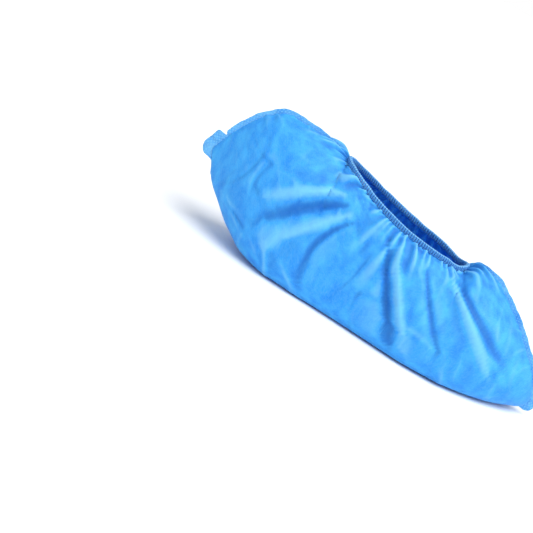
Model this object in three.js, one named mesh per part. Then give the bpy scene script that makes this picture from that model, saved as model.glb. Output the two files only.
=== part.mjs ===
// A disposable shoe cover in its worn form, standing on its sole.
// Millimetres, +Z up, the toe toward +X, the near side toward -Y.
//
// The real thing is one sheet folded along the sole, closed by a welded seam over the heel
// and one over the toe, and drawn in by an elastic that runs inside a hem round the mouth.
// Every point of the sheet has two flat coordinates: `run` goes from the heel seam (0) to
// the toe seam (1), and `rise` from the fold under the sole (0) to the hem (1).
import * as THREE from 'three';

// Driving dimensions
const WALL = 1.2;                 // thickness of the sheet
const GAP = 0.4;                  // clearance between neighbouring pieces
const HEEL_TIP = -176;            // where the two sides meet behind the heel
const TOE_TIP = 177;              // where they meet in front of the toe
const MOUTH_BACK = -69;           // rear end of the mouth
const MOUTH_FRONT = 66;           // front end of the mouth
const MOUTH_HALF_WIDTH = 34;
const SOLE_FLAT = 0.7;            // how much of the rounded underside is pressed flat
const TIP_SHORTER = 8;            // how much sooner the hollow ends at each tip
const HEM_HEIGHT = 5;
const HEM_LIFT = 0.7;             // clearance between the rim and the hem above it
const HEM_WALL = 1;
const ELASTIC_WIDTH = 3;
const ELASTIC_THICKNESS = 1;
const SEAM_WIDTH = 4.4;           // weld flange that stands up along each end seam
const SEAM_THICKNESS = 1;
const HEEL_TAB = 10;              // how far the sheet's corner stands out at the heel
const TOE_TAB = 6;
const RUN_STEPS = 52;
const RISE_STEPS = 15;
const HEM_STEPS = 2 * RUN_STEPS;  // the hem's joints match the rim's

// Cross sections from heel to toe: the fold's height, the top's height, the greatest half
// width, where it lies between the two, and how square the lower and upper quarters are.
const SECTIONS = [
  { x: -176, fold: 65, top: 67, half: 0.7, waist: 0.50, lower: 2.0, upper: 1.6 },
  { x: -164, fold: 42, top: 93, half: 9, waist: 0.46, lower: 2.0, upper: 1.5 },
  { x: -149, fold: 28, top: 114, half: 21, waist: 0.42, lower: 2.1, upper: 1.5 },
  { x: -130, fold: 13, top: 126, half: 33, waist: 0.38, lower: 2.4, upper: 1.6 },
  { x: -106, fold: 3, top: 125, half: 42, waist: 0.34, lower: 4.0, upper: 1.8 },
  { x: -82, fold: 0, top: 121, half: 46, waist: 0.32, lower: 5.5, upper: 1.9 },
  { x: -56, fold: 0, top: 111, half: 48, waist: 0.30, lower: 6.5, upper: 1.8 },
  { x: -22, fold: 0, top: 100, half: 50, waist: 0.28, lower: 7.0, upper: 1.7 },
  { x: 14, fold: 0, top: 92, half: 55, waist: 0.28, lower: 7.0, upper: 1.7 },
  { x: 45, fold: 0, top: 88, half: 60, waist: 0.28, lower: 7.0, upper: 1.7 },
  { x: 58, fold: 0, top: 85.5, half: 61, waist: 0.29, lower: 7.0, upper: 1.7 },
  { x: 66, fold: 0, top: 88.5, half: 61, waist: 0.30, lower: 6.8, upper: 1.6 },
  { x: 76, fold: 0, top: 96, half: 61, waist: 0.29, lower: 6.5, upper: 1.5 },
  { x: 92, fold: 0, top: 94, half: 59, waist: 0.30, lower: 6.0, upper: 1.5 },
  { x: 110, fold: 0, top: 84, half: 53, waist: 0.32, lower: 5.0, upper: 1.5 },
  { x: 130, fold: 0.5, top: 70, half: 43, waist: 0.34, lower: 4.0, upper: 1.5 },
  { x: 148, fold: 2, top: 54, half: 31, waist: 0.36, lower: 3.0, upper: 1.5 },
  { x: 163, fold: 4.5, top: 40, half: 19, waist: 0.40, lower: 2.1, upper: 1.5 },
  { x: 172, fold: 8, top: 27, half: 9, waist: 0.45, lower: 2.0, upper: 1.6 },
  { x: 177, fold: 13, top: 15, half: 0.7, waist: 0.50, lower: 2.0, upper: 1.6 },
];

// Main folds, seen from the side: each runs from a start through a bend to an end.
// Positive height stands out from the sheet and negative height is a crease into it.
const FOLDS = [
  { side: -1, x0: -58, z0: 96, x1: -84, z1: 88, x2: -116, z2: 60, width: 5, height: 3.0 },
  { side: -1, x0: -52, z0: 90, x1: -82, z1: 74, x2: -112, z2: 38, width: 5, height: -2.6 },
  { side: -1, x0: -46, z0: 84, x1: -72, z1: 60, x2: -98, z2: 22, width: 5, height: 2.4 },
  { side: -1, x0: -40, z0: 80, x1: -70, z1: 52, x2: -52, z2: 12, width: 4, height: -2.2 },
  { side: -1, x0: -6, z0: 84, x1: 14, z1: 40, x2: 40, z2: 10, width: 5, height: -3.6 },
  { side: -1, x0: 4, z0: 82, x1: 24, z1: 44, x2: 54, z2: 12, width: 5, height: 2.4 },
  { side: -1, x0: 34, z0: 78, x1: 54, z1: 50, x2: 82, z2: 20, width: 4, height: -1.8 },
  { side: -1, x0: 56, z0: 80, x1: 92, z1: 56, x2: 126, z2: 26, width: 5, height: 3.0 },
  { side: -1, x0: 66, z0: 78, x1: 104, z1: 60, x2: 140, z2: 34, width: 4, height: -2.4 },
  { side: 1, x0: -60, z0: 98, x1: -88, z1: 86, x2: -120, z2: 54, width: 6, height: 2.8 },
  { side: 1, x0: -50, z0: 88, x1: -78, z1: 66, x2: -100, z2: 28, width: 5, height: -2.4 },
  { side: 1, x0: -30, z0: 84, x1: -40, z1: 50, x2: -24, z2: 12, width: 5, height: 2.4 },
  { side: 1, x0: 8, z0: 80, x1: 20, z1: 46, x2: 46, z2: 14, width: 5, height: -3.0 },
  { side: 1, x0: 44, z0: 78, x1: 70, z1: 54, x2: 104, z2: 24, width: 5, height: 2.6 },
  { side: 1, x0: 62, z0: 80, x1: 98, z1: 62, x2: 134, z2: 32, width: 4, height: -2.2 },
];

// Short gathers below the hem, shaped as a wave along the run.
const GATHERS = { perSide: 12, height: 1.5, from: 0.62 };

const clamp01 = (value) => Math.min(1, Math.max(0, value));
const ease = (value) => THREE.MathUtils.smoothstep(value, 0, 1);

// One column of the section table at any x, as a smooth curve that never overshoots a row.
function column(name, x) {
  const last = SECTIONS.length - 1;
  const slope = (i) => (SECTIONS[i + 1][name] - SECTIONS[i][name])
    / (SECTIONS[i + 1].x - SECTIONS[i].x);
  const tangent = (i) => {
    if (i === 0) return slope(0);
    if (i === last) return slope(last - 1);
    const [before, after] = [slope(i - 1), slope(i)];
    return before * after <= 0 ? 0 : 2 * before * after / (before + after);
  };
  let i = 0;
  while (i < last - 1 && x > SECTIONS[i + 1].x) i += 1;
  const span = SECTIONS[i + 1].x - SECTIONS[i].x;
  const u = clamp01((x - SECTIONS[i].x) / span);
  return SECTIONS[i][name] * (1 + 2 * u) * (1 - u) ** 2
    + SECTIONS[i + 1][name] * (3 - 2 * u) * u ** 2
    + tangent(i) * span * u * (1 - u) ** 2
    + tangent(i + 1) * span * u ** 2 * (u - 1);
}

// x at an equal share of the arc length along one column's curve.
function arcTable(name, from, to) {
  const steps = 120;
  const xs = [];
  const lengths = [];
  for (let i = 0; i <= steps; i += 1) {
    const x = from + (to - from) * i / steps;
    xs.push(x);
    const rise = i === 0 ? 0 : column(name, x) - column(name, xs[i - 1]);
    lengths.push(i === 0 ? 0 : lengths[i - 1] + Math.hypot(x - xs[i - 1], rise));
  }
  return (share) => {
    const target = clamp01(share) * lengths[steps];
    let i = 1;
    while (i < steps && lengths[i] < target) i += 1;
    const part = (target - lengths[i - 1]) / (lengths[i] - lengths[i - 1]);
    return xs[i - 1] + (xs[i] - xs[i - 1]) * part;
  };
}

const foldX = arcTable('fold', HEEL_TIP, TOE_TIP);
const heelSeamX = arcTable('top', HEEL_TIP, MOUTH_BACK);
const toeSeamX = arcTable('top', TOE_TIP, MOUTH_FRONT);
const MOUTH_MIDDLE = (MOUTH_BACK + MOUTH_FRONT) / 2;
const MOUTH_HALF_LENGTH = (MOUTH_FRONT - MOUTH_BACK) / 2;

function mouthHalfWidth(x, inset) {
  const along = (x - MOUTH_MIDDLE) / (MOUTH_HALF_LENGTH - inset);
  return (MOUTH_HALF_WIDTH - inset) * Math.sqrt(Math.max(0, 1 - along ** 2));
}

// x of a point of the sheet, from the four edges of the sheet.
function stationX(run, rise, inset) {
  const rim = (r) => MOUTH_MIDDLE - (MOUTH_HALF_LENGTH - inset) * Math.cos(Math.PI * r);
  const sides = (1 - rise) * foldX(run) + rise * rim(run);
  const ends = (1 - run) * (heelSeamX(rise) - (1 - rise) * HEEL_TIP - rise * MOUTH_BACK)
    + run * (toeSeamX(rise) - (1 - rise) * TOE_TIP - rise * MOUTH_FRONT);
  return sides + ends;
}

// A point of the smooth sheet, before folds. An inset skin lies that far inside the outer.
function smoothPoint(run, rise, side, inset) {
  const outerX = stationX(run, rise, inset);
  const middle = (HEEL_TIP + TOE_TIP) / 2;
  const toTip = 2 * (outerX - middle) / (TOE_TIP - HEEL_TIP);
  const x = outerX - (inset / WALL) * TIP_SHORTER * Math.sign(toTip) * Math.abs(toTip) ** 12;
  const spread = 1 - Math.abs(1 - 2 * run) ** 1.25;
  const share = rise === 0 ? 0 : rise / (rise + (1 - rise) * spread);
  // the wall is a little thicker at the tips and under the rim, where its facets turn most
  const depth = inset * (1 + toTip ** 6 + (rise < 1 ? 0.5 * rise ** 8 : 0));
  const fold = column('fold', x) + depth;
  const top = column('top', x) - (rise < 1 ? depth : 0);
  const waist = fold + (top - fold) * column('waist', x);
  const half = Math.max(0.3, column('half', x) - depth);
  const mouth = Math.min(mouthHalfWidth(x, inset), half);
  const angle = (share - 0.5) * Math.PI;
  const [across, up] = [Math.cos(angle), Math.abs(Math.sin(angle))];
  if (share < 0.5) {
    const power = 2 / column('lower', x);
    const z = waist - (waist - fold) * up ** power;
    return new THREE.Vector3(x, side * half * across ** power, Math.max(inset, z - SOLE_FLAT));
  }
  const power = 2 / column('upper', x);
  const y = share === 1 ? mouth : mouth + (half - mouth) * across ** power;
  return new THREE.Vector3(x, side * y, waist + (top - waist) * up ** power - SOLE_FLAT);
}

function outwardNormal(run, rise, side) {
  const step = 0.01;
  const [r0, r1] = [Math.max(0.001, run - step), Math.min(0.999, run + step)];
  const [s0, s1] = [Math.max(0.001, rise - step), Math.min(0.999, rise + step)];
  const along = smoothPoint(r1, rise, side, 0).sub(smoothPoint(r0, rise, side, 0));
  const upward = smoothPoint(run, s1, side, 0).sub(smoothPoint(run, s0, side, 0));
  return along.cross(upward).multiplyScalar(-side).normalize();
}

const foldCurves = FOLDS.map((fold) => ({
  ...fold,
  points: new THREE.QuadraticBezierCurve(
    new THREE.Vector2(fold.x0, fold.z0),
    new THREE.Vector2(fold.x1, fold.z1),
    new THREE.Vector2(fold.x2, fold.z2),
  ).getPoints(10),
}));

// Height of all folds and gathers at a point of the sheet, along its outward normal.
function foldHeight(point, run, rise, side) {
  let height = 0;
  for (const fold of foldCurves) {
    if (fold.side !== side) continue;
    const last = fold.points.length - 1;
    let nearest = Infinity;
    let share = 0;
    fold.points.forEach((p, i) => {
      const distance = Math.hypot(p.x - point.x, p.y - point.z);
      if (distance < nearest) [nearest, share] = [distance, i / last];
    });
    const fade = Math.sin(Math.PI * clamp01(0.15 + 0.8 * share));
    height += fold.height * fade * Math.exp(-((nearest / fold.width) ** 2));
  }
  const climb = clamp01((rise - GATHERS.from) / (1 - GATHERS.from));
  const wave = Math.sin(Math.PI * climb ** 1.6) * Math.sin(2 * Math.PI * GATHERS.perSide * run);
  const atEdges = ease(rise * 5) * ease(run * 12) * ease((1 - run) * 12) * ease((1 - rise) * 5);
  return (height + GATHERS.height * wave) * atEdges;
}

function sheetPoint(run, rise, side, inset) {
  const point = smoothPoint(run, rise, side, inset);
  const outer = smoothPoint(run, rise, side, 0);
  const height = foldHeight(outer, run, rise, side);
  if (height !== 0) point.addScaledVector(outwardNormal(run, rise, side), height);
  return point;
}

// A closed body from points and triangles.
function bodyGeometry(points, triangles) {
  const geometry = new THREE.BufferGeometry();
  const flat = points.flatMap((p) => [p.x, p.y, p.z]);
  geometry.setAttribute('position', new THREE.Float32BufferAttribute(flat, 3));
  geometry.setIndex(triangles);
  geometry.computeVertexNormals();
  return geometry;
}

// The folded sheet as a hollow wall, open at the mouth.
function bodyShell() {
  const points = [];
  const triangles = [];
  const layers = [0, WALL].map((inset) => {
    const shared = new Map();
    const sides = [-1, 1].map((side) => {
      const grid = [];
      for (let i = 0; i <= RUN_STEPS; i += 1) {
        grid.push([]);
        for (let j = 0; j <= RISE_STEPS; j += 1) {
          const onMiddle = i === 0 || i === RUN_STEPS || j === 0;
          const key = `${i} ${j}`;
          if (onMiddle && shared.has(key)) {
            grid[i].push(shared.get(key));
            continue;
          }
          const point = sheetPoint(i / RUN_STEPS, j / RISE_STEPS, side, inset);
          if (onMiddle) point.y = 0;
          grid[i].push(points.push(point) - 1);
          if (onMiddle) shared.set(key, grid[i][j]);
        }
      }
      return grid;
    });
    return sides;
  });
  const addQuad = (a, b, c, d, turned) => {
    const corners = turned ? [a, c, b, a, d, c] : [a, b, c, a, c, d];
    for (const k of [0, 3]) {
      const [p, q, r] = corners.slice(k, k + 3);
      if (p !== q && q !== r && p !== r) triangles.push(p, q, r);
    }
  };
  layers.forEach((sides, layer) => {
    sides.forEach((grid, s) => {
      for (let i = 0; i < RUN_STEPS; i += 1) {
        for (let j = 0; j < RISE_STEPS; j += 1) {
          const turned = (s === 1) !== (layer === 1);
          addQuad(grid[i][j], grid[i + 1][j], grid[i + 1][j + 1], grid[i][j + 1], turned);
        }
      }
    });
  });
  [0, 1].forEach((s) => {
    const [outer, inner] = [layers[0][s], layers[1][s]];
    for (let i = 0; i < RUN_STEPS; i += 1) {
      const j = RISE_STEPS;
      addQuad(outer[i][j], outer[i + 1][j], inner[i + 1][j], inner[i][j], s === 1);
    }
  });
  return bodyGeometry(points, triangles);
}

// A ring that follows the mouth, from a cross section of [outward, upward] corners.
function mouthRing(section) {
  const points = [];
  const triangles = [];
  const count = section.length;
  const radius = WALL / 2;
  for (let i = 0; i < HEM_STEPS; i += 1) {
    const turn = 2 * Math.PI * i / HEM_STEPS;
    const x = MOUTH_MIDDLE - (MOUTH_HALF_LENGTH - radius) * Math.cos(turn);
    const y = -(MOUTH_HALF_WIDTH - radius) * Math.sin(turn);
    const out = new THREE.Vector2(
      -Math.cos(turn) / (MOUTH_HALF_LENGTH - radius),
      -Math.sin(turn) / (MOUTH_HALF_WIDTH - radius),
    ).normalize();
    for (const [outward, upward] of section) {
      const rim = column('top', x + out.x * outward) - SOLE_FLAT;
      points.push(new THREE.Vector3(x + out.x * outward, y + out.y * outward, rim + upward));
    }
    const next = (i + 1) % HEM_STEPS;
    for (let k = 0; k < count; k += 1) {
      const m = (k + 1) % count;
      const [a, b, c, d] = [i * count + k, next * count + k, next * count + m, i * count + m];
      triangles.push(a, b, c, a, c, d);
    }
  }
  return bodyGeometry(points, triangles);
}

// The hem is a casing, open along its lower edge, where the sheet is folded over the elastic.
function hemCasing() {
  const channel = ELASTIC_THICKNESS / 2 + GAP;
  const outside = channel + HEM_WALL;
  const [low, top] = [HEM_LIFT, HEM_LIFT + HEM_HEIGHT];
  return mouthRing([
    [outside, low], [outside, top], [-outside, top], [-outside, low],
    [-channel, low], [-channel, top - HEM_WALL], [channel, top - HEM_WALL], [channel, low],
  ]);
}

function elasticBand() {
  const half = ELASTIC_THICKNESS / 2;
  const bottom = HEM_LIFT + (HEM_HEIGHT - HEM_WALL - ELASTIC_WIDTH) / 2;
  const top = bottom + ELASTIC_WIDTH;
  return mouthRing([[half, bottom], [half, top], [-half, top], [-half, bottom]]);
}

// A flat weld flange in the middle plane, standing up from the seam's ridge. It begins under
// the sheet's corner, where it widens into a tab, and ends at the mouth.
function seamFlange(tip, mouth, tabWidth) {
  const toward = Math.sign(mouth - tip);
  const under = 9;
  const along = arcTable('top', tip, mouth);
  const ridge = [];
  for (let i = 0; i < RISE_STEPS; i += 1) {
    const x = along(i / RISE_STEPS);
    ridge.push(new THREE.Vector2(x, column('top', x) - SOLE_FLAT));
  }
  const wrap = 6;
  for (let i = 0; i <= wrap; i += 1) {
    const x = tip + toward * under * i / wrap;
    ridge.unshift(new THREE.Vector2(x, column('fold', x) - SOLE_FLAT));
  }
  const inner = [];
  const outer = [];
  ridge.forEach((p, i) => {
    const before = ridge[Math.max(0, i - 1)];
    const after = ridge[Math.min(ridge.length - 1, i + 1)];
    const direction = after.clone().sub(before).normalize();
    const normal = new THREE.Vector2(-direction.y, direction.x).multiplyScalar(toward);
    const nearTip = 1 - ease(Math.abs(i - wrap) / wrap);
    const width = SEAM_WIDTH + (tabWidth - SEAM_WIDTH) * nearTip;
    inner.push(p.clone().addScaledVector(normal, GAP));
    outer.push(p.clone().addScaledVector(normal, GAP + width));
  });
  const outline = new THREE.Shape([...inner, ...outer.reverse()]);
  const settings = { depth: SEAM_THICKNESS, bevelEnabled: false, steps: 1 };
  const geometry = new THREE.ExtrudeGeometry(outline, settings);
  geometry.rotateX(Math.PI / 2);
  geometry.translate(0, SEAM_THICKNESS / 2, 0);
  return geometry;
}

function piece(name, geometry, colour, roughness) {
  const material = new THREE.MeshStandardMaterial({ color: colour, roughness, metalness: 0 });
  const mesh = new THREE.Mesh(geometry, material);
  mesh.name = name;
  return mesh;
}

const group = new THREE.Group();
group.add(
  piece('body', bodyShell(), 0x3fa4ee, 0.75),
  piece('toe_seam', seamFlange(TOE_TIP, MOUTH_FRONT, TOE_TAB), 0x5cbcf7, 0.7),
  piece('heel_seam', seamFlange(HEEL_TIP, MOUTH_BACK, HEEL_TAB), 0x5cbcf7, 0.7),
  piece('hem', hemCasing(), 0x2d86d2, 0.75),
  piece('elastic', elasticBand(), 0xe8ecef, 0.6),
);

// The origin is the middle of the footprint, on the surface that the sole rests on.
const box = new THREE.Box3().setFromObject(group);
const centre = box.getCenter(new THREE.Vector3());
group.position.set(-centre.x, -centre.y, -box.min.z);
group.updateMatrixWorld(true);

export default group;
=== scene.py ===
"""A disposable shoe cover in its worn form: the folded sheet with its gathers and folds, the two
weld seams with their corner tabs, and the ribbed hem. Lengths in the tables are millimetres in
the sheet's own frame, and MM turns them into metres."""
import math

import bpy
import numpy as np
from mathutils import Matrix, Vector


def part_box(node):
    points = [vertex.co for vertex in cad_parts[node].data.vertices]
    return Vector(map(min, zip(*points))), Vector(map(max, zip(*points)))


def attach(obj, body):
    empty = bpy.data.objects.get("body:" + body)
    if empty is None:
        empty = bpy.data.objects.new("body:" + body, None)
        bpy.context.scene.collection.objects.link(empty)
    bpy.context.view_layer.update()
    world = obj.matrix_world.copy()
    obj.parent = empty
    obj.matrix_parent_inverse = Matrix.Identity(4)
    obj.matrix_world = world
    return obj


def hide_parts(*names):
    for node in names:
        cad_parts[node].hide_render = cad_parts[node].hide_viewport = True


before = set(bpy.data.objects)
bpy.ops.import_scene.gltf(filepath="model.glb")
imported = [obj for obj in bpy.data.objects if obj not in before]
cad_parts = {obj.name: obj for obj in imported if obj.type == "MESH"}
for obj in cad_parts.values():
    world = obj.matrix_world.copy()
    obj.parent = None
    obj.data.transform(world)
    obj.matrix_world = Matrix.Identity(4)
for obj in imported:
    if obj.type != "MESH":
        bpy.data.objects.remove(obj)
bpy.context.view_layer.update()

MM = 0.001

# ---------------------------------------------------------------- sizes of the sheet
HEEL_TIP = -176.0
TOE_TIP = 177.0
MOUTH_BACK = -69.0
MOUTH_FRONT = 66.0
MOUTH_HALF_WIDTH = 33.4
SOLE_FLAT = 0.7
FLAT_LENGTH = 400.0
FLAT_HEIGHT = 160.0
SHEET_THICKNESS = 0.3
RUN_STEPS = 230                 # cells along the sheet and up one side of it
RISE_STEPS = 90
HEM_HEIGHT = 5.0
HEM_LIFT = 0.7                  # clearance between the rim and the hem above it
HEM_OVERLAP = 1.2               # how far the cloth runs up inside the hem
HEM_RIBS = 140
POINTS_PER_RIB = 10
POINTS_AROUND_HEM = 16
HALF_WALL = 0.6                 # from the frame's outer skin to the middle of its wall
SEAM_WIDTH = 4.4
SEAM_UNDER = 10.0               # how far a seam strip starts under its tip
SEAM_SHORT = 3                  # how far before the mouth a seam strip ends
SEAM_CELLS = 10                 # cells across a seam strip

# ---------------------------------------------------------------- folds
FOLD_STRENGTH = 1.6
GATHERS_PER_SIDE = 58
CREASES_PER_SIDE = 150
PUCKERS_PER_SEAM = 26
SETTLE_FRAMES = 26
SETTLE_QUALITY = 5
SETTLE_GROWTH = 0.6             # share by which the slack cloth grows
SETTLE_LIMIT = 9.0              # the furthest that a point may move, in millimetres
RELIEF_SCALES = ((3, 1.2), (9, 0.7))   # reach in cells, and weight
RELIEF_FULL = 1.5               # standing out this far counts as nearly a full ridge

# ---------------------------------------------------------------- camera, light and stage
CAMERA_LENS = 84
SENSOR_WIDTH = 36
CAMERA_TARGET = (-0.0815, 0.0, -0.002)
CAMERA_DISTANCE = 1.10
CAMERA_RAISED = 16.5            # degrees above the level of the floor
CAMERA_ROLL = 30.7
FLOOR_HALF = 20.0
FLOOR_LEVEL = -0.0002
LIGHT_TARGET = (0, 0, 0.05)
# name, where the light comes from, spread in degrees, power
SUNS = (("key", (0.45, -0.34, 1.0), 60, 3.1), ("fill", (-0.5, -1.0, 1.0), 60, 0.3))
# sine of the height above the horizon where the world starts and ends to dim, and its strengths
WORLD_FADE = (0.05, 0.40, 1.0, 0.5)

MOUTH_MIDDLE = (MOUTH_BACK + MOUTH_FRONT) / 2
MOUTH_HALF_LENGTH = (MOUTH_FRONT - MOUTH_BACK) / 2 - HALF_WALL
low_hem, high_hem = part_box("hem")
SHIFT_X = (low_hem[0] + high_hem[0]) / 2 - MOUTH_MIDDLE * MM
low_tab, high_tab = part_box("heel_seam")
SHIFT_Y = (low_tab[1] + high_tab[1]) / 2

# Cross sections from heel to toe, as in the frame: the fold's height, the top's height, the
# greatest half width, where it lies between the two, and how square each quarter is.
SECTION_COLUMNS = ("x", "fold", "top", "half", "waist", "lower", "upper")
SECTIONS = np.array([
    (-176, 65, 67, 0.7, 0.50, 2.0, 1.6),
    (-164, 42, 93, 9, 0.46, 2.0, 1.5),
    (-149, 28, 114, 21, 0.42, 2.1, 1.5),
    (-130, 13, 126, 33, 0.38, 2.4, 1.6),
    (-106, 3, 125, 42, 0.34, 4.0, 1.8),
    (-82, 0, 121, 46, 0.32, 5.5, 1.9),
    (-56, 0, 111, 48, 0.30, 6.5, 1.8),
    (-22, 0, 100, 50, 0.28, 7.0, 1.7),
    (14, 0, 92, 55, 0.28, 7.0, 1.7),
    (45, 0, 88, 60, 0.28, 7.0, 1.7),
    (58, 0, 85.5, 61, 0.29, 7.0, 1.7),
    (66, 0, 88.5, 61, 0.30, 6.8, 1.6),
    (76, 0, 96, 61, 0.29, 6.5, 1.5),
    (92, 0, 94, 59, 0.30, 6.0, 1.5),
    (110, 0, 84, 53, 0.32, 5.0, 1.5),
    (130, 0.5, 70, 43, 0.34, 4.0, 1.5),
    (148, 2, 54, 31, 0.36, 3.0, 1.5),
    (163, 4.5, 40, 19, 0.40, 2.1, 1.5),
    (172, 8, 27, 9, 0.45, 2.0, 1.6),
    (177, 13, 15, 0.7, 0.50, 2.0, 1.6),
])

# Main folds seen from the side, each from a start through a bend to an end. A positive height
# stands out from the sheet and a negative one is a crease into it.
FOLD_COLUMNS = ("side", "x0", "z0", "x1", "z1", "x2", "z2", "width", "height")
FOLDS = [
    (-1, -58, 96, -84, 88, -116, 60, 5, 3.2),
    (-1, -52, 90, -82, 74, -112, 38, 4, -3.0),
    (-1, -46, 84, -72, 60, -98, 22, 5, 2.6),
    (-1, -40, 80, -70, 52, -52, 12, 3, -2.4),
    (-1, -6, 84, 14, 40, 40, 10, 4, -4.0),
    (-1, 4, 82, 24, 44, 54, 12, 5, 2.6),
    (-1, 34, 78, 54, 50, 82, 20, 3, -2.0),
    (-1, 56, 80, 92, 56, 126, 26, 4, 3.2),
    (-1, 66, 78, 104, 60, 140, 34, 3, -2.6),
    (1, -60, 98, -88, 86, -120, 54, 5, 3.0),
    (1, -50, 88, -78, 66, -100, 28, 4, -2.8),
    (1, -30, 84, -40, 50, -24, 12, 4, 2.6),
    (1, 8, 80, 20, 46, 46, 14, 4, -3.4),
    (1, 44, 78, 70, 54, 104, 24, 5, 2.8),
    (1, 62, 80, 98, 62, 134, 32, 3, -2.6),
]


def column(name, x):
    """One column of the section table at any x, as a smooth curve that never overshoots."""
    xs = SECTIONS[:, 0]
    values = SECTIONS[:, SECTION_COLUMNS.index(name)]
    slopes = np.diff(values) / np.diff(xs)
    before, after = slopes[:-1], slopes[1:]
    together = np.where(before * after > 0, before + after, 1.0)
    middle = np.where(before * after > 0, 2 * before * after / together, 0.0)
    tangents = np.concatenate(([slopes[0]], middle, [slopes[-1]]))
    i = np.clip(np.searchsorted(xs, x, side="right") - 1, 0, len(xs) - 2)
    span = xs[i + 1] - xs[i]
    u = np.clip((x - xs[i]) / span, 0, 1)
    return (values[i] * (1 + 2 * u) * (1 - u) ** 2 + values[i + 1] * (3 - 2 * u) * u ** 2
            + tangents[i] * span * u * (1 - u) ** 2 + tangents[i + 1] * span * u ** 2 * (u - 1))


def arc_table(name, start, end):
    """x at an equal share of the arc length along one column's curve."""
    xs = np.linspace(start, end, 400)
    steps = np.hypot(np.diff(xs), np.diff(column(name, xs)))
    lengths = np.concatenate(([0.0], np.cumsum(steps)))
    return lambda share: np.interp(np.clip(share, 0, 1) * lengths[-1], lengths, xs)


FOLD_X = arc_table("fold", HEEL_TIP, TOE_TIP)
HEEL_SEAM_X = arc_table("top", HEEL_TIP, MOUTH_BACK)
TOE_SEAM_X = arc_table("top", TOE_TIP, MOUTH_FRONT)


def ease(value):
    value = np.clip(value, 0, 1)
    return value * value * (3 - 2 * value)


def smooth_sheet(run, rise, side):
    """Points of the sheet before folds, from its flat coordinates: run from the heel seam to
    the toe seam, and rise from the fold under the sole to the hem."""
    rim = MOUTH_MIDDLE - MOUTH_HALF_LENGTH * np.cos(np.pi * run)
    sides = (1 - rise) * FOLD_X(run) + rise * rim
    x = (sides + (1 - run) * (HEEL_SEAM_X(rise) - (1 - rise) * HEEL_TIP - rise * MOUTH_BACK)
         + run * (TOE_SEAM_X(rise) - (1 - rise) * TOE_TIP - rise * MOUTH_FRONT))
    spread = 1 - np.abs(1 - 2 * run) ** 1.25
    share = np.where(rise == 0, 0, rise / np.maximum(rise + (1 - rise) * spread, 1e-9))
    fold, top, half = column("fold", x), column("top", x), column("half", x)
    waist = fold + (top - fold) * column("waist", x)
    along = np.clip(np.abs(x - MOUTH_MIDDLE) / MOUTH_HALF_LENGTH, 0, 1)
    mouth = np.minimum(MOUTH_HALF_WIDTH * np.sqrt(1 - along ** 2), half)
    angle = (share - 0.5) * np.pi
    across = np.maximum(np.cos(angle), 0)
    up = np.abs(np.sin(angle))
    low_power, high_power = 2 / column("lower", x), 2 / column("upper", x)
    low_z = np.maximum(0, waist - (waist - fold) * up ** low_power - SOLE_FLAT)
    high_z = waist + (top - waist) * up ** high_power - SOLE_FLAT
    low_y = half * across ** low_power
    high_y = mouth + (half - mouth) * across ** high_power
    y = side * np.where(share < 0.5, low_y, high_y)
    z = np.where(share < 0.5, low_z, high_z)
    return np.stack((x, y, z), axis=-1)


def outward_normals(points, side):
    along = np.gradient(points, axis=0)
    upward = np.gradient(points, axis=1)
    normals = -side * np.cross(along, upward)
    return normals / np.maximum(np.linalg.norm(normals, axis=-1, keepdims=True), 1e-9)


def fold_heights(points, side):
    """Heights of the main folds, by distance from each fold's curve seen from the side."""
    heights = np.zeros(points.shape[:2])
    for row in FOLDS:
        fold = dict(zip(FOLD_COLUMNS, row))
        if fold["side"] != side:
            continue
        t = np.linspace(0, 1, 25)
        curve = [(1 - t) ** 2 * fold[a + "0"] + 2 * t * (1 - t) * fold[a + "1"]
                 + t ** 2 * fold[a + "2"] for a in "xz"]
        away = np.hypot(points[..., 0, None] - curve[0], points[..., 2, None] - curve[1])
        nearest = away.min(axis=-1)
        share = t[away.argmin(axis=-1)]
        fade = np.sin(np.pi * np.clip(0.12 + 0.84 * share, 0, 1))
        width = fold["width"] * (0.6 + 0.8 * share)
        heights += FOLD_STRENGTH * fold["height"] * fade * np.exp(-((nearest / width) ** 1.25))
    return heights


def gather_heights(run, rise, side):
    """Short pleats below the hem. Most end within a finger's width, and a few run on as soft
    folds that widen as they go down."""
    rng = np.random.default_rng(11 + side)
    heights = np.zeros(run.shape)
    for k in range(GATHERS_PER_SIDE):
        start = (k + 0.5 + rng.uniform(-0.35, 0.35)) / GATHERS_PER_SIDE
        reach = 0.07 + 0.42 * rng.random() ** 2.6
        drift = rng.uniform(-0.035, 0.035)
        height = (1.2 + 1.8 * rng.random()) * (0.8 + 2.0 * reach)
        down = np.clip((1 - rise) / reach, 0, 1)
        centre = start + drift * down
        width = 0.0045 + 0.011 * down * (0.5 + reach * 2)
        strength = np.sin(np.pi * np.clip(0.10 + 0.90 * down, 0, 1)) ** 0.8 * (1 - down) ** 0.4
        heights += height * strength * np.exp(-(((run - centre) / width) ** 2))
    return heights - 0.35 * ease((rise - 0.8) * 6)


def crumple_heights(points, side):
    """Faint creases of random length and direction all over the sheet."""
    rng = np.random.default_rng(41 + side)
    heights = np.zeros(points.shape[:2])
    x, z = points[..., 0], points[..., 2]
    for _ in range(CREASES_PER_SIDE):
        centre_x, centre_z = rng.uniform(-170, 172), rng.uniform(4, 120)
        slant = rng.normal(-0.9, 0.55)
        length, width = rng.uniform(8, 30), rng.uniform(1.2, 3.2)
        along = (x - centre_x) * math.cos(slant) + (z - centre_z) * math.sin(slant)
        across = -(x - centre_x) * math.sin(slant) + (z - centre_z) * math.cos(slant)
        across = across + 0.012 * along ** 2 * rng.uniform(-1, 1)
        height = rng.uniform(-0.75, 0.75)
        heights += height * np.exp(-(along / length) ** 2 - np.abs(across / width) ** 1.3)
    return heights


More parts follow.
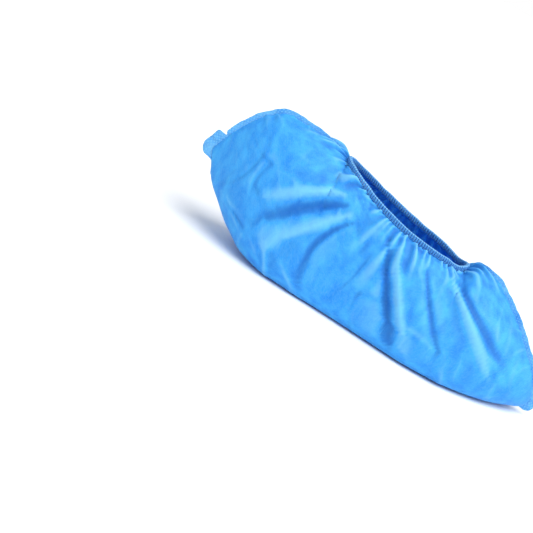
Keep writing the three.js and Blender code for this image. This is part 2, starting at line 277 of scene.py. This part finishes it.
def seam_puckers(run, rise):
    """Small pleats that leave each end seam at right angles."""
    heights = np.zeros(run.shape)
    for end, seed in ((0, 5), (1, 6)):
        rng = np.random.default_rng(seed)
        away = np.abs(run - end)
        for _ in range(PUCKERS_PER_SEAM):
            place = rng.uniform(0.04, 0.97)
            reach = rng.uniform(0.012, 0.05)
            lean = rng.uniform(-0.5, 0.5)
            strength = np.exp(-(away / reach) ** 2) * ease(away * 220)
            heights += (rng.uniform(0.4, 1.1) * strength
                        * np.exp(-(((rise - place - lean * away) / 0.011) ** 2)))
    return heights


def sheet_side(side):
    """A grid of points of one side of the sheet, with its folds."""
    run, rise = np.meshgrid(np.linspace(0, 1, RUN_STEPS + 1),
                            np.linspace(0, 1, RISE_STEPS + 1), indexing="ij")
    base = smooth_sheet(run, rise, side)
    normals = outward_normals(base, side)
    heights = fold_heights(base, side) + crumple_heights(base, side)
    heights *= ease(run * 10) * ease((1 - run) * 10) * ease((1 - rise) * 7)
    heights += gather_heights(run, rise, side) * ease(run * 22) * ease((1 - run) * 22)
    heights += seam_puckers(run, rise)
    heights *= ease(rise * 5) * ease((1 - rise) * 22)
    points = base + normals * heights[..., None]
    points[..., 2] = np.maximum(points[..., 2], 0)
    for i in (0, -1):
        points[i, :, 1] = 0
    points[:, 0, 1] = 0
    points[:, -1, 2] += HEM_LIFT + HEM_OVERLAP
    return points, run, rise


def to_metres(points):
    """Millimetres of the sheet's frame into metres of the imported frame."""
    return np.asarray(points) * MM + np.array((SHIFT_X, SHIFT_Y, 0.0))


def mesh_object(name, points, faces, uvs=None, smooth=True):
    mesh = bpy.data.meshes.new(name)
    mesh.from_pydata([tuple(p) for p in to_metres(points)], [], faces)
    if uvs is not None:
        layer = mesh.uv_layers.new(name="flat")
        corners = np.array([uv for face in uvs for uv in face], dtype=np.float32)
        layer.data.foreach_set("uv", corners.ravel())
    mesh.polygons.foreach_set("use_smooth", [smooth] * len(mesh.polygons))
    mesh.update()
    obj = bpy.data.objects.new(name, mesh)
    bpy.context.scene.collection.objects.link(obj)
    return obj


# ---------------------------------------------------------------- materials
class Nodes:
    """A short way to write a material's node tree."""

    def __init__(self, name):
        self.material = bpy.data.materials.new(name)
        self.material.use_nodes = True
        self.tree = self.material.node_tree
        self.tree.nodes.clear()

    def add(self, kind, **values):
        node = self.tree.nodes.new(kind)
        for key, value in values.items():
            if hasattr(node, key) and key not in node.inputs:
                setattr(node, key, value)
            else:
                self.feed(node.inputs[key], value)
        return node

    def feed(self, socket, value):
        if isinstance(value, bpy.types.NodeSocket):
            self.tree.links.new(value, socket)
        elif isinstance(value, bpy.types.Node):
            self.tree.links.new(value.outputs[0], socket)
        else:
            socket.default_value = value

    def maths(self, operation, *values):
        node = self.tree.nodes.new("ShaderNodeMath")
        node.operation = operation
        for socket, value in zip(node.inputs, values):
            self.feed(socket, value)
        return node.outputs[0]

    def blend(self, factor, first, second, blend_type="MIX"):
        node = self.tree.nodes.new("ShaderNodeMix")
        node.data_type = "RGBA"
        node.blend_type = blend_type
        self.feed(node.inputs["Factor"], factor)
        self.feed(node.inputs[6], first)
        self.feed(node.inputs[7], second)
        return node.outputs[2]

    def span(self, value, low, high, to_low=0.0, to_high=1.0):
        node = self.tree.nodes.new("ShaderNodeMapRange")
        for socket, item in zip(node.inputs, (value, low, high, to_low, to_high)):
            self.feed(socket, item)
        return node.outputs[0]


def srgb(red, green, blue):
    """A colour of 0 to 255 as the linear values that nodes take."""
    channels = [c / 255 for c in (red, green, blue)]
    return tuple(c / 12.92 if c <= 0.04045 else ((c + 0.055) / 1.055) ** 2.4
                 for c in channels) + (1.0,)


SHEET_BLUE = srgb(66, 188, 253)
SHEET_DEEP = srgb(26, 148, 240)
SHEET_PALE = srgb(132, 220, 253)
# Painted shade for the sheet's creases and a painted highlight for its ridges.
CREASE_PAINTED_SHADE = srgb(14, 98, 194)
RIDGE_PAINTED_HIGHLIGHT = srgb(150, 230, 253)
WELD_PALE = srgb(128, 208, 250)
WELD_BLUE = srgb(64, 158, 234)
HEM_BLUE = srgb(40, 128, 212)
# Painted shade for the gaps between the hem's ribs.
HEM_GAP_PAINTED_SHADE = srgb(14, 78, 158)
HEM_THREAD = srgb(126, 200, 246)
ELASTIC_WHITE = srgb(226, 230, 232)
GLOW_BLUE = srgb(92, 190, 250)


def flat_place(nodes):
    """The sheet's flat coordinates in millimetres."""
    uv = nodes.add("ShaderNodeUVMap", uv_map="flat")
    scale = nodes.add("ShaderNodeVectorMath", operation="SCALE")
    nodes.feed(scale.inputs[0], uv)
    scale.inputs["Scale"].default_value = FLAT_LENGTH
    return scale.outputs[0]


def dots(nodes, place, pitch, radius):
    """A lattice of round dots, every other row set over by half a pitch: 1 inside, 0 outside."""
    parts = nodes.add("ShaderNodeSeparateXYZ", Vector=place)
    row = nodes.maths("DIVIDE", parts.outputs[1], pitch * 0.5)
    row_index = nodes.maths("FLOOR", row)
    odd = nodes.maths("MODULO", nodes.maths("ABSOLUTE", row_index), 2.0)
    line = nodes.maths("ADD", nodes.maths("DIVIDE", parts.outputs[0], pitch),
                       nodes.maths("MULTIPLY", odd, 0.5))
    across = nodes.maths("SUBTRACT", nodes.maths("FRACT", line), 0.5)
    up = nodes.maths("MULTIPLY", nodes.maths("SUBTRACT", nodes.maths("FRACT", row), 0.5), 0.5)
    away = nodes.maths("SQRT", nodes.maths("ADD", nodes.maths("MULTIPLY", across, across),
                                           nodes.maths("MULTIPLY", up, up)))
    return nodes.span(away, radius / pitch, radius / pitch * 0.55)


def nonwoven(name, pale, blue, deep, weld_rows=False):
    """Point-bonded nonwoven: thin, see-through in patches, with bond dots and stray fibres, and
    with painted shade in its creases and a painted highlight on its ridges.
    """
    nodes = Nodes(name)
    place = flat_place(nodes)
    cloud = nodes.add("ShaderNodeTexNoise", Vector=place, Scale=0.07, Detail=6.0, Roughness=0.6)
    stretched = nodes.add("ShaderNodeMapping", Vector=place, Scale=(0.35, 1.5, 1.0))
    fibres = nodes.add("ShaderNodeTexNoise", Vector=stretched, Scale=1.1, Detail=6.0,
                       Roughness=0.75, Distortion=1.2)
    bonds = dots(nodes, place, 2.0, 0.42)
    colour = nodes.blend(nodes.span(cloud.outputs[0], 0.36, 0.66), deep, blue)
    colour = nodes.blend(nodes.span(fibres.outputs[0], 0.42, 0.78, 0.0, 0.45), colour, pale)
    colour = nodes.blend(nodes.maths("MULTIPLY", bonds, 0.22), colour, deep)
    # Painted shade darkens the creases and a painted highlight pales the ridges, by how far the
    # settled cloth stands out there (the relief attribute).
    relief = nodes.add("ShaderNodeAttribute", attribute_name="relief").outputs["Fac"]
    colour = nodes.blend(nodes.span(relief, -0.05, -1.0, 0.0, 0.70), colour, CREASE_PAINTED_SHADE)
    colour = nodes.blend(nodes.span(relief, 0.05, 1.0, 0.0, 0.55), colour, RIDGE_PAINTED_HIGHLIGHT)
    height = nodes.maths("ADD", nodes.maths("MULTIPLY", fibres.outputs[0], 0.05),
                         nodes.maths("MULTIPLY", bonds, -0.08))
    if weld_rows:
        welds = dots(nodes, place, 3.0, 0.85)
        colour = nodes.blend(nodes.maths("MULTIPLY", welds, 0.75), colour, blue)
        height = nodes.maths("SUBTRACT", height, nodes.maths("MULTIPLY", welds, 0.30))
    bump = nodes.add("ShaderNodeBump", Strength=0.55, Distance=MM, Height=height)
    rough = nodes.span(fibres.outputs[0], 0.3, 0.8, 0.62, 0.50)
    front = nodes.add("ShaderNodeBsdfPrincipled", Roughness=rough, Normal=bump.outputs[0])
    nodes.feed(front.inputs["Base Color"], colour)
    front.inputs["Sheen Weight"].default_value = 0.12
    front.inputs["Sheen Roughness"].default_value = 0.4
    front.inputs["Specular IOR Level"].default_value = 0.35
    glow = nodes.add("ShaderNodeBsdfTranslucent", Normal=bump.outputs[0])
    nodes.feed(glow.inputs["Color"], nodes.blend(0.5, colour, GLOW_BLUE))
    mixed = nodes.add("ShaderNodeMixShader")
    mixed.inputs[0].default_value = 0.28
    nodes.feed(mixed.inputs[1], front)
    nodes.feed(mixed.inputs[2], glow)
    nodes.add("ShaderNodeOutputMaterial", Surface=mixed.outputs[0])
    return nodes.material


def hem_material():
    """The gathered casing: fine upright ribs with painted shade in the gaps between them, and a
    pale thread at each edge.
    """
    nodes = Nodes("hem_cloth")
    uv = nodes.add("ShaderNodeUVMap", uv_map="flat")
    parts = nodes.add("ShaderNodeSeparateXYZ", Vector=uv.outputs[0])
    rib = nodes.maths("ABSOLUTE", nodes.maths("SINE", nodes.maths(
        "MULTIPLY", parts.outputs[0], math.pi)))
    noise = nodes.add("ShaderNodeTexNoise", Vector=uv.outputs[0], Scale=3.0, Detail=5.0)
    # Painted shade: the colour darkens into the gaps between the ribs, and the pale edge threads
    # below fade in those gaps as well.
    colour = nodes.blend(nodes.span(rib, 0.15, 0.75), HEM_GAP_PAINTED_SHADE, HEM_BLUE)
    colour = nodes.blend(nodes.span(noise.outputs[0], 0.42, 0.7, 0.0, 0.4), colour, SHEET_PALE)
    for line in (0.10, 0.90):
        away = nodes.maths("ABSOLUTE", nodes.maths("SUBTRACT", parts.outputs[1], line))
        edge = nodes.maths("MULTIPLY", nodes.span(away, 0.10, 0.04),
                           nodes.span(rib, 0.05, 0.5, 0.35, 0.85))
        colour = nodes.blend(edge, colour, HEM_THREAD)
    bump = nodes.add("ShaderNodeBump", Strength=0.4, Distance=MM, Height=noise.outputs[0])
    front = nodes.add("ShaderNodeBsdfPrincipled", Normal=bump.outputs[0])
    nodes.feed(front.inputs["Base Color"], colour)
    nodes.feed(front.inputs["Roughness"], nodes.span(noise.outputs[0], 0.3, 0.7, 0.72, 0.56))
    front.inputs["Sheen Weight"].default_value = 0.2
    glow = nodes.add("ShaderNodeBsdfTranslucent")
    nodes.feed(glow.inputs["Color"], colour)
    mixed = nodes.add("ShaderNodeMixShader")
    mixed.inputs[0].default_value = 0.18
    nodes.feed(mixed.inputs[1], front)
    nodes.feed(mixed.inputs[2], glow)
    nodes.add("ShaderNodeOutputMaterial", Surface=mixed.outputs[0])
    return nodes.material


def elastic_material():
    """Covered elastic: fine lengthwise cords."""
    nodes = Nodes("elastic_tape")
    place = nodes.add("ShaderNodeTexCoord").outputs["Object"]
    wave = nodes.add("ShaderNodeTexWave", Vector=place, Scale=900.0, Distortion=0.5,
                     bands_direction="Z")
    colour = nodes.blend(nodes.span(wave.outputs[1], 0.2, 0.9, 0.0, 0.5),
                         ELASTIC_WHITE, srgb(188, 194, 200))
    bump = nodes.add("ShaderNodeBump", Strength=0.3, Distance=MM, Height=wave.outputs[1])
    front = nodes.add("ShaderNodeBsdfPrincipled", Normal=bump.outputs[0])
    nodes.feed(front.inputs["Base Color"], colour)
    nodes.feed(front.inputs["Roughness"], nodes.span(wave.outputs[1], 0.0, 1.0, 0.55, 0.7))
    nodes.add("ShaderNodeOutputMaterial", Surface=front.outputs[0])
    return nodes.material


# ---------------------------------------------------------------- pieces
def add_weights(obj, name, weights):
    group = obj.vertex_groups.new(name=name)
    for level in np.unique(np.round(weights, 2)):
        members = np.nonzero(np.round(weights, 2) == level)[0]
        group.add([int(m) for m in members], float(level), "REPLACE")


def settle(sheet, flats):
    """Lets the cloth find its own creases: the slack sheet grows a little between the places
    that the elastic, the seams and the sole hold, and buckles there."""
    run, rise = flats[:, 0], flats[:, 1]
    to_seam = np.minimum(run, 1 - run)
    hold = 0.004 + 0.2 * (1 - ease(rise * 4)) + 0.25 * (1 - ease(to_seam * 30))
    hold = np.where((rise > 0.985) | (rise < 0.02) | (to_seam < 0.001), 1.0, np.minimum(hold, 0.9))
    slack = ease(rise * 1.8 - 0.1) * (0.40 + 0.60 * ease((rise - 0.45) * 2))
    slack = slack * (0.35 + 0.65 * ease(to_seam * 9))
    add_weights(sheet, "hold", hold)
    add_weights(sheet, "slack", slack)
    cloth = sheet.modifiers.new("cloth", "CLOTH")
    settings = cloth.settings
    settings.quality = SETTLE_QUALITY
    settings.mass = 0.03
    settings.tension_stiffness = settings.compression_stiffness = 12
    settings.shear_stiffness = 4
    settings.bending_stiffness = 0.005
    settings.air_damping = 4
    settings.vertex_group_mass = "hold"
    settings.pin_stiffness = 0.3
    settings.vertex_group_shrink = "slack"
    settings.shrink_min = 0.0
    settings.shrink_max = -SETTLE_GROWTH
    settings.effector_weights.gravity = 0
    cloth.collision_settings.use_collision = False
    cloth.point_cache.frame_start = 1
    cloth.point_cache.frame_end = SETTLE_FRAMES
    scene = bpy.context.scene
    before = np.array([v.co for v in sheet.data.vertices])
    for step in range(1, SETTLE_FRAMES + 1):
        scene.frame_set(step)
    evaluated = sheet.evaluated_get(bpy.context.evaluated_depsgraph_get())
    after = np.array([v.co for v in evaluated.data.vertices])
    sheet.modifiers.remove(cloth)
    sheet.vertex_groups.clear()
    scene.frame_set(1)
    move = after - before
    far = np.linalg.norm(move, axis=1, keepdims=True)
    limit = SETTLE_LIMIT * MM
    move *= np.where(far > limit, limit / np.maximum(far, 1e-9), 1.0)
    settled = before + move
    settled[:, 2] = np.maximum(settled[:, 2], 0)
    sheet.data.vertices.foreach_set("co", settled.ravel().astype(np.float32))
    sheet.data.update()


def stand_out(points, side):
    """How far each point of a grid stands out of its neighbours, at two scales, in mm."""
    normals = outward_normals(points, side)
    total = np.zeros(points.shape[:2])
    for reach, share in RELIEF_SCALES:
        around = points
        for axis in (0, 1):
            pad = [(reach, reach) if a == axis else (0, 0) for a in range(3)]
            padded = np.pad(around, pad, mode="edge")
            windows = [np.take(padded, range(k, k + around.shape[axis]), axis=axis)
                       for k in range(2 * reach + 1)]
            around = sum(windows) / len(windows)
        total += share * ((points - around) * normals).sum(axis=-1)
    return total


def add_relief(sheet, grids):
    """Marks each point of the cloth as a ridge (towards 1) or a crease (towards -1), which the
    cloth's material turns into a painted highlight on the ridges and painted shade in the creases.
    """
    shift = np.array((SHIFT_X, SHIFT_Y, 0.0))
    places = (np.array([v.co for v in sheet.data.vertices]) - shift) / MM
    relief = np.zeros(len(places))
    run, rise = np.meshgrid(np.linspace(0, 1, RUN_STEPS + 1),
                            np.linspace(0, 1, RISE_STEPS + 1), indexing="ij")
    for side, index in grids:
        total = stand_out(places[index], side) - stand_out(smooth_sheet(run, rise, side), side)
        total *= ease(run * 22) * ease((1 - run) * 22) * ease((1 - rise) * 15) * ease(rise * 10)
        relief[index] = np.tanh(total / RELIEF_FULL)
    layer = sheet.data.attributes.new("relief", "FLOAT", "POINT")
    layer.data.foreach_set("value", relief.astype(np.float32))


def cover_sheet(material):
    """Both sides of the sheet in one mesh, joined along the fold and the two end seams."""
    points, faces, uvs, flats = [], [], [], []
    shared, grids = {}, []
    for side in (-1, 1):
        grid, run, rise = sheet_side(side)
        index = np.zeros(run.shape, dtype=int)
        grids.append((side, index))
        for i in range(RUN_STEPS + 1):
            for j in range(RISE_STEPS + 1):
                key = (i, j) if i in (0, RUN_STEPS) or j == 0 else None
                if key in shared:
                    index[i, j] = shared[key]
                    continue
                index[i, j] = len(points)
                points.append(grid[i, j])
                flats.append((run[i, j], rise[i, j]))
                if key is not None:
                    shared[key] = len(points) - 1
        v = 0.5 + side * rise * FLAT_HEIGHT / FLAT_LENGTH
        for i in range(RUN_STEPS):
            for j in range(RISE_STEPS):
                ring = [(i, j), (i + 1, j), (i + 1, j + 1), (i, j + 1)]
                if side > 0:
                    ring.reverse()
                faces.append([int(index[c]) for c in ring])
                uvs.append([(run[c], v[c]) for c in ring])
    sheet = mesh_object("cover_sheet", points, faces, uvs)
    settle(sheet, np.array(flats))
    add_relief(sheet, grids)
    thicken = sheet.modifiers.new("thickness", "SOLIDIFY")
    thicken.thickness = SHEET_THICKNESS * MM
    thicken.offset = -1
    sheet.data.materials.append(material)
    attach(sheet, "root")
    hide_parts("body")
    return sheet


def rim_place(turn):
    x = MOUTH_MIDDLE - MOUTH_HALF_LENGTH * np.cos(turn)
    y = -MOUTH_HALF_WIDTH * np.sin(turn)
    return x, y, column("top", x) - SOLE_FLAT


def hem(material):
    """The casing as a closed band whose ribs, edges and lean vary a little round the mouth."""
    ribs, per_rib, around = HEM_RIBS, POINTS_PER_RIB, POINTS_AROUND_HEM
    rng = np.random.default_rng(3)
    count = ribs * per_rib
    turns = np.linspace(0, 2 * np.pi, 20001)
    x, y, z = rim_place(turns)
    lengths = np.concatenate(([0.0], np.cumsum(np.hypot(np.diff(x), np.diff(y)))))
    turn = np.interp(np.arange(count) / count * lengths[-1], lengths, turns)
    x, y, z = rim_place(turn)
    out = np.stack((-np.cos(turn) / MOUTH_HALF_LENGTH, -np.sin(turn) / MOUTH_HALF_WIDTH), axis=1)
    out /= np.linalg.norm(out, axis=1, keepdims=True)
    phase = np.arange(count) / per_rib
    rib = np.abs(np.sin(np.pi * phase)) ** 0.8
    size = rng.uniform(0.75, 1.25, ribs)[np.floor(phase).astype(int)]
    lean = sum(rng.uniform(0.1, 0.3) * np.sin(k * turn + rng.uniform(0, 6.28)) for k in range(2, 9))
    edge = sum(rng.uniform(0.02, 0.09) * np.sin(k * turn + rng.uniform(0, 6.28))
               for k in range(11, 31, 3))
    points, faces, uvs = [], [], []
    for i in range(count):
        for k in range(around):
            angle = 2 * math.pi * k / around
            up = math.copysign(abs(math.sin(angle)) ** 0.7, math.sin(angle))
            sideways = math.copysign(abs(math.cos(angle)) ** 0.8, math.cos(angle))
            thick = 0.75 + 1.0 * rib[i] * size[i]
            outward = sideways * thick + lean[i] * (0.5 + 0.5 * up)
            height = HEM_LIFT + HEM_HEIGHT / 2 + up * (HEM_HEIGHT / 2 + edge[i] + 0.12 * rib[i])
            points.append((x[i] + out[i, 0] * outward, y[i] + out[i, 1] * outward, z[i] + height))
    for i in range(count):
        for k in range(around):
            j, m = (i + 1) % count, (k + 1) % around
            faces.append([i * around + k, i * around + m, j * around + m, j * around + k])
            v = [0.5 + 0.5 * math.sin(2 * math.pi * q / around) for q in (k, k + 1)]
            ahead = phase[i] + 1 / per_rib
            uvs.append([(phase[i], v[0]), (phase[i], v[1]), (ahead, v[1]), (ahead, v[0])])
    band = mesh_object("hem_band", points, faces, uvs)
    band.data.materials.append(material)
    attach(band, "root")
    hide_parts("hem")
    return band


def seam_strip(name, node, tip, mouth, tab_width, tab_length, seed, material):
    """A weld flange along the ridge of an end seam, with the sheet's corner as a loose tab."""
    toward = math.copysign(1.0, mouth - tip)
    under = SEAM_UNDER
    xs = arc_table("top", tip, mouth)(np.linspace(0, 1, 400))
    ridge = np.stack((xs, column("top", xs) - SOLE_FLAT), axis=1)
    low_xs = np.linspace(tip + toward * under, tip, 60)[:-1]
    below = np.stack((low_xs, np.maximum(0, column("fold", low_xs) - SOLE_FLAT)), axis=1)
    path = np.concatenate((below, ridge))
    lengths = np.concatenate(([0.0], np.cumsum(np.linalg.norm(np.diff(path, axis=0), axis=1))))
    at_tip = lengths[len(below)]
    length = lengths[-1] - SEAM_SHORT
    count = int(length)
    place = np.linspace(0, length, count)
    line = np.stack([np.interp(place, lengths, path[:, a]) for a in (0, 1)], axis=1)
    smooth = np.stack([np.convolve(np.pad(line[:, a], 4, mode="edge"), np.ones(9) / 9, "valid")
                       for a in (0, 1)], axis=1)
    direction = np.gradient(smooth, axis=0)
    direction /= np.linalg.norm(direction, axis=1, keepdims=True)
    normal = np.stack((-direction[:, 1], direction[:, 0]), axis=1) * toward
    rng = np.random.default_rng(seed)
    beyond = place - at_tip
    tab = ease((beyond + under) / 8) * (1 - ease((beyond - tab_length) / 3))
    notch = np.exp(-((beyond - tab_length - 3.5) / 1.6) ** 2)
    width = SEAM_WIDTH + (tab_width - SEAM_WIDTH) * tab - 3.2 * notch
    width *= ease((beyond + under + 2) / 6)
    width += 0.2 * np.sin(place * 0.35 + 1) + 0.12 * np.sin(place * 0.8)
    wave = sum(rng.uniform(0.15, 0.4) * np.sin(place * f + rng.uniform(0, 6.28))
               for f in (0.11, 0.23, 0.41, 0.66, 1.05))
    cells = SEAM_CELLS
    points, faces, uvs = [], [], []
    for i in range(count):
        for k in range(cells + 1):
            share = k / cells
            reach = -0.6 + (width[i] + 0.6) * share
            curl = share ** 1.4 * (wave[i] * (1 + 1.6 * tab[i]) + 1.8 * tab[i] * share)
            y = curl + 0.35 * tab[i] * math.sin(place[i] * 1.3 + share * 4)
            x = line[i, 0] + normal[i, 0] * reach
            z = line[i, 1] + normal[i, 1] * reach
            points.append((x, y, max(z, 0.2)))
    for i in range(count - 1):
        for k in range(cells):
            ring = [(i, k), (i + 1, k), (i + 1, k + 1), (i, k + 1)]
            faces.append([a * (cells + 1) + b for a, b in ring])
            uvs.append([(place[a] / FLAT_LENGTH, b / cells * width[a] / FLAT_LENGTH)
                        for a, b in ring])
    strip = mesh_object(name, points, faces, uvs)
    thicken = strip.modifiers.new("thickness", "SOLIDIFY")
    thicken.thickness = 2 * SHEET_THICKNESS * MM
    thicken.offset = 0
    strip.data.materials.append(material)
    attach(strip, "root")
    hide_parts(node)
    return strip


# ---------------------------------------------------------------- stage, camera and light
def add_camera():
    """Level with the side of the cover, a little above it, and turned so that the toe points
    down to the right."""
    data = bpy.data.cameras.new("camera")
    data.lens = CAMERA_LENS
    data.sensor_width = SENSOR_WIDTH
    data.clip_end = 50
    camera = bpy.data.objects.new("camera", data)
    bpy.context.scene.collection.objects.link(camera)
    raised, roll = math.radians(CAMERA_RAISED), math.radians(CAMERA_ROLL)
    back = np.array((0.0, -math.cos(raised), math.sin(raised)))
    place = np.array(CAMERA_TARGET) + back * CAMERA_DISTANCE
    right = np.array((1.0, 0.0, 0.0))
    up = np.cross(back, right)
    turned_right = right * math.cos(roll) + up * math.sin(roll)
    turned_up = up * math.cos(roll) - right * math.sin(roll)
    matrix = np.eye(4)
    for a, axis in enumerate((turned_right, turned_up, back, place)):
        matrix[:3, a] = axis
    camera.matrix_world = Matrix(matrix.tolist())
    bpy.context.scene.camera = camera


def add_floor():
    nodes = Nodes("floor")
    front = nodes.add("ShaderNodeBsdfPrincipled", Roughness=0.6)
    front.inputs["Base Color"].default_value = (0.92, 0.93, 0.94, 1)
    front.inputs["Specular IOR Level"].default_value = 0.2
    nodes.add("ShaderNodeOutputMaterial", Surface=front.outputs[0])
    half, level = FLOOR_HALF, FLOOR_LEVEL
    mesh = bpy.data.meshes.new("floor")
    mesh.from_pydata([(-half, -half, level), (half, -half, level), (half, half, level),
                      (-half, half, level)], [], [(0, 1, 2, 3)])
    floor = bpy.data.objects.new("floor", mesh)
    bpy.context.scene.collection.objects.link(floor)
    floor.data.materials.append(nodes.material)


def add_light(name, place, spread, power):
    """A soft sun, which lights the floor evenly however far it goes."""
    data = bpy.data.lights.new(name, "SUN")
    data.angle = math.radians(spread)
    data.energy = power
    light = bpy.data.objects.new(name, data)
    bpy.context.scene.collection.objects.link(light)
    away = np.array(place, float) - np.array(LIGHT_TARGET, float)
    z_axis = away / np.linalg.norm(away)
    x_axis = np.cross((0.0, 0.0, 1.0), z_axis)
    x_axis /= np.linalg.norm(x_axis)
    matrix = np.eye(4)
    for a, axis in enumerate((x_axis, np.cross(z_axis, x_axis), z_axis, place)):
        matrix[:3, a] = axis
    light.matrix_world = Matrix(matrix.tolist())


def add_world():
    """White all round, brighter near the horizon so that the floor's edge doesn't show."""
    world = bpy.data.worlds.new("studio")
    world.use_nodes = True
    nodes = world.node_tree.nodes
    links = world.node_tree.links
    direction = nodes.new("ShaderNodeTexCoord")
    parts = nodes.new("ShaderNodeSeparateXYZ")
    fade = nodes.new("ShaderNodeMapRange")
    for socket, value in zip(list(fade.inputs)[1:5], WORLD_FADE):
        socket.default_value = value
    links.new(direction.outputs["Generated"], parts.inputs[0])
    links.new(parts.outputs[2], fade.inputs[0])
    links.new(fade.outputs[0], nodes["Background"].inputs["Strength"])
    nodes["Background"].inputs["Color"].default_value = (1.0, 1.0, 1.0, 1)
    bpy.context.scene.world = world


add_camera()
add_world()
add_floor()
for name, place, spread, power in SUNS:
    add_light(name, place, spread, power)
bpy.context.scene.view_settings.view_transform = "Standard"

sheet_cloth = nonwoven("sheet_nonwoven", SHEET_PALE, SHEET_BLUE, SHEET_DEEP)
weld_cloth = nonwoven("weld_nonwoven", WELD_PALE, WELD_PALE, WELD_BLUE, weld_rows=True)
sheet = cover_sheet(sheet_cloth)
hem_band = hem(hem_material())
toe_strip = seam_strip("toe_weld", "toe_seam", TOE_TIP, MOUTH_FRONT, 7.0, 12.0, 17, weld_cloth)
heel_strip = seam_strip("heel_weld", "heel_seam", HEEL_TIP, MOUTH_BACK, 9.0, 13.0, 23,
                        weld_cloth)
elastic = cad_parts["elastic"]
elastic.data.materials.clear()
elastic.data.materials.append(elastic_material())
